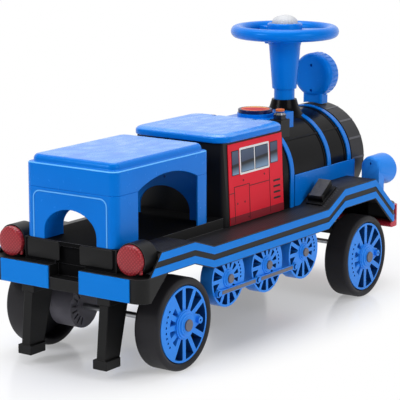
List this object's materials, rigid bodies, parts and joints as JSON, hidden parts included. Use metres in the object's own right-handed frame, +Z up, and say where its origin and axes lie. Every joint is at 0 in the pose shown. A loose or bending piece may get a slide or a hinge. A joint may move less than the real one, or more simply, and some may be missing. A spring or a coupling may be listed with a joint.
{
  "type": "ride-on train",
  "caption": "Ride-on toy train for a toddler: blue and black plastic locomotive with a steering wheel, a seat lid over a storage box, a lift-off rear stool and spoked wheels.",
  "frame": {"origin": "on the floor, under the middle of the train's length and width", "axes": "+X points forward to the nose, +Y to the train's left, +Z up"},
  "size_m": [0.864, 0.338, 0.532],
  "materials": {
    "black_plastic": "moulded black plastic, satin, with a fine grain on the decks",
    "smokebox_plastic": "moulded dark grey plastic, satin",
    "blue_plastic": "moulded blue plastic, gloss",
    "red_plastic": "moulded red plastic, gloss",
    "red_panel": "printed red film on the cab sides",
    "red_lens": "translucent red lens with a prism pattern",
    "clear_lens": "clear moulded lens",
    "navy_plastic": "navy moulded bezel",
    "dial_print": null,
    "orange_plastic": "moulded orange button",
    "dark_knob": "moulded dark knob with bright edges",
    "white_plastic": "moulded white dome",
    "grey_plastic": "moulded grey plastic",
    "steel": "plain bright steel",
    "battery_case": "moulded battery case",
    "tyre": "black foamed plastic tyre, matt, with rounded shoulders"
  },
  "bodies": {
    "train": {"chassis_shell": "black_plastic", "rear_bumper": "black_plastic", "anti_tip_legs": "black_plastic", "cab_shell": "black_plastic", "boiler_shell": "black_plastic", "switch_block": "black_plastic", "steering_shroud": "black_plastic", "pedal_base": "black_plastic", "side_frames": "black_plastic", "front_beam": "black_plastic", "smokebox": "smokebox_plastic", "side_stripes": "blue_plastic", "bumper_plates": "blue_plastic", "headlamp_housings": "blue_plastic", "boiler_bands": "blue_plastic", "boiler_valances": "blue_plastic", "top_lamp": "blue_plastic", "console_base": "blue_plastic", "dummy_wheels": "blue_plastic", "front_bumper": "red_plastic", "cab_panels": "red_panel", "tail_lamp_lenses": "red_lens", "headlamp_lenses": "clear_lens", "top_lamp_lens": "clear_lens", "dial_bezel": "navy_plastic", "dial_face": "dial_print", "dummy_caps": "grey_plastic", "coupling_rods": "grey_plastic", "gearbox_housing": "grey_plastic", "axle_brackets": "grey_plastic", "seat_hinge_pin": "steel", "rear_axle": "steel", "motor": "steel", "battery": "battery_case"},
    "seat": {"seat_lid": "blue_plastic"},
    "stool": {"stool_lid": "blue_plastic", "stool_rear_panel": "blue_plastic", "stool_front_panel": "blue_plastic"},
    "button": {"console_button": "orange_plastic"},
    "knob": {"switch_knob": "dark_knob"},
    "pedal": {"foot_pedal": "black_plastic"},
    "steering": {"steering_column": "blue_plastic", "steering_wheel": "blue_plastic", "steering_shaft": "steel"},
    "horn": {"horn_button": "white_plastic"},
    "right_knuckle": {"knuckle_right": "steel"},
    "left_knuckle": {"knuckle_left": "steel"},
    "track_link": {"tie_rod": "steel"},
    "wheel_rear_right": {"tyre_rear_right": "tyre", "disc_rear_right": "blue_plastic", "cap_rear_right": "grey_plastic"},
    "wheel_rear_left": {"tyre_rear_left": "tyre", "disc_rear_left": "blue_plastic", "cap_rear_left": "grey_plastic"},
    "wheel_front_right": {"tyre_front_right": "tyre", "disc_front_right": "blue_plastic", "cap_front_right": "grey_plastic"},
    "wheel_front_left": {"tyre_front_left": "tyre", "disc_front_left": "blue_plastic", "cap_front_left": "grey_plastic"}
  },
  "joints": [
    {"name": "seat_hinge", "type": "hinge", "parent": "train", "child": "seat", "pos_m": [0.0812, 0, 0.35], "axis": [0, 1, 0], "range_deg": [0, 80]},
    {"name": "stool_lift", "type": "slide", "parent": "train", "child": "stool", "axis": [0, 0, 1], "range_m": [0, 0.15]},
    {"name": "pedal_pivot", "type": "hinge", "parent": "train", "child": "pedal", "pos_m": [0.15619, -0.1243, 0.2101], "axis": [0, 1, 0], "range_deg": [0, 6], "stiffness_Nm_per_rad": 2},
    {"name": "button_press", "type": "slide", "parent": "train", "child": "button", "axis": [0, 0, 1], "range_m": [-0.003, 0], "stiffness_N_per_m": 300},
    {"name": "knob_turn", "type": "hinge", "parent": "train", "child": "knob", "pos_m": [0.134, -0.058, 0.352], "axis": [0, 0, 1], "range_deg": [-45, 45]},
    {"name": "steering_turn", "type": "hinge", "parent": "train", "child": "steering", "pos_m": [0.24, 0, 0.4], "axis": [0, 0, 1], "range_deg": [-20, 20]},
    {"name": "horn_press", "type": "slide", "parent": "steering", "child": "horn", "axis": [0, 0, 1], "range_m": [-0.004, 0], "stiffness_N_per_m": 400},
    {"name": "right_kingpin", "type": "hinge", "parent": "train", "child": "right_knuckle", "pos_m": [0.284, -0.093, 0.11], "axis": [0, 0, 1], "range_deg": [-20, 20]},
    {"name": "left_kingpin", "type": "hinge", "parent": "train", "child": "left_knuckle", "pos_m": [0.284, 0.093, 0.11], "axis": [0, 0, 1], "range_deg": [-20, 20]},
    {"name": "track_slide", "type": "slide", "parent": "train", "child": "track_link", "axis": [0, 1, 0], "range_m": [-0.008, 0.008]},
    {"name": "rear_right_spin", "type": "hinge", "parent": "train", "child": "wheel_rear_right", "pos_m": [-0.308, -0.136, 0.078], "axis": [0, 1, 0], "continuous": true},
    {"name": "rear_left_spin", "type": "hinge", "parent": "train", "child": "wheel_rear_left", "pos_m": [-0.308, 0.136, 0.078], "axis": [0, 1, 0], "continuous": true},
    {"name": "front_right_spin", "type": "hinge", "parent": "right_knuckle", "child": "wheel_front_right", "pos_m": [0.284, -0.136, 0.078], "axis": [0, 1, 0], "continuous": true},
    {"name": "front_left_spin", "type": "hinge", "parent": "left_knuckle", "child": "wheel_front_left", "pos_m": [0.284, 0.136, 0.078], "axis": [0, 1, 0], "continuous": true}
  ],
  "couplings": [
    {"joint": "right_kingpin", "follows": "steering_turn", "ratio": 1},
    {"joint": "left_kingpin", "follows": "steering_turn", "ratio": 1},
    {"joint": "track_slide", "follows": "steering_turn", "m_per_rad": -0.022}
  ]
}
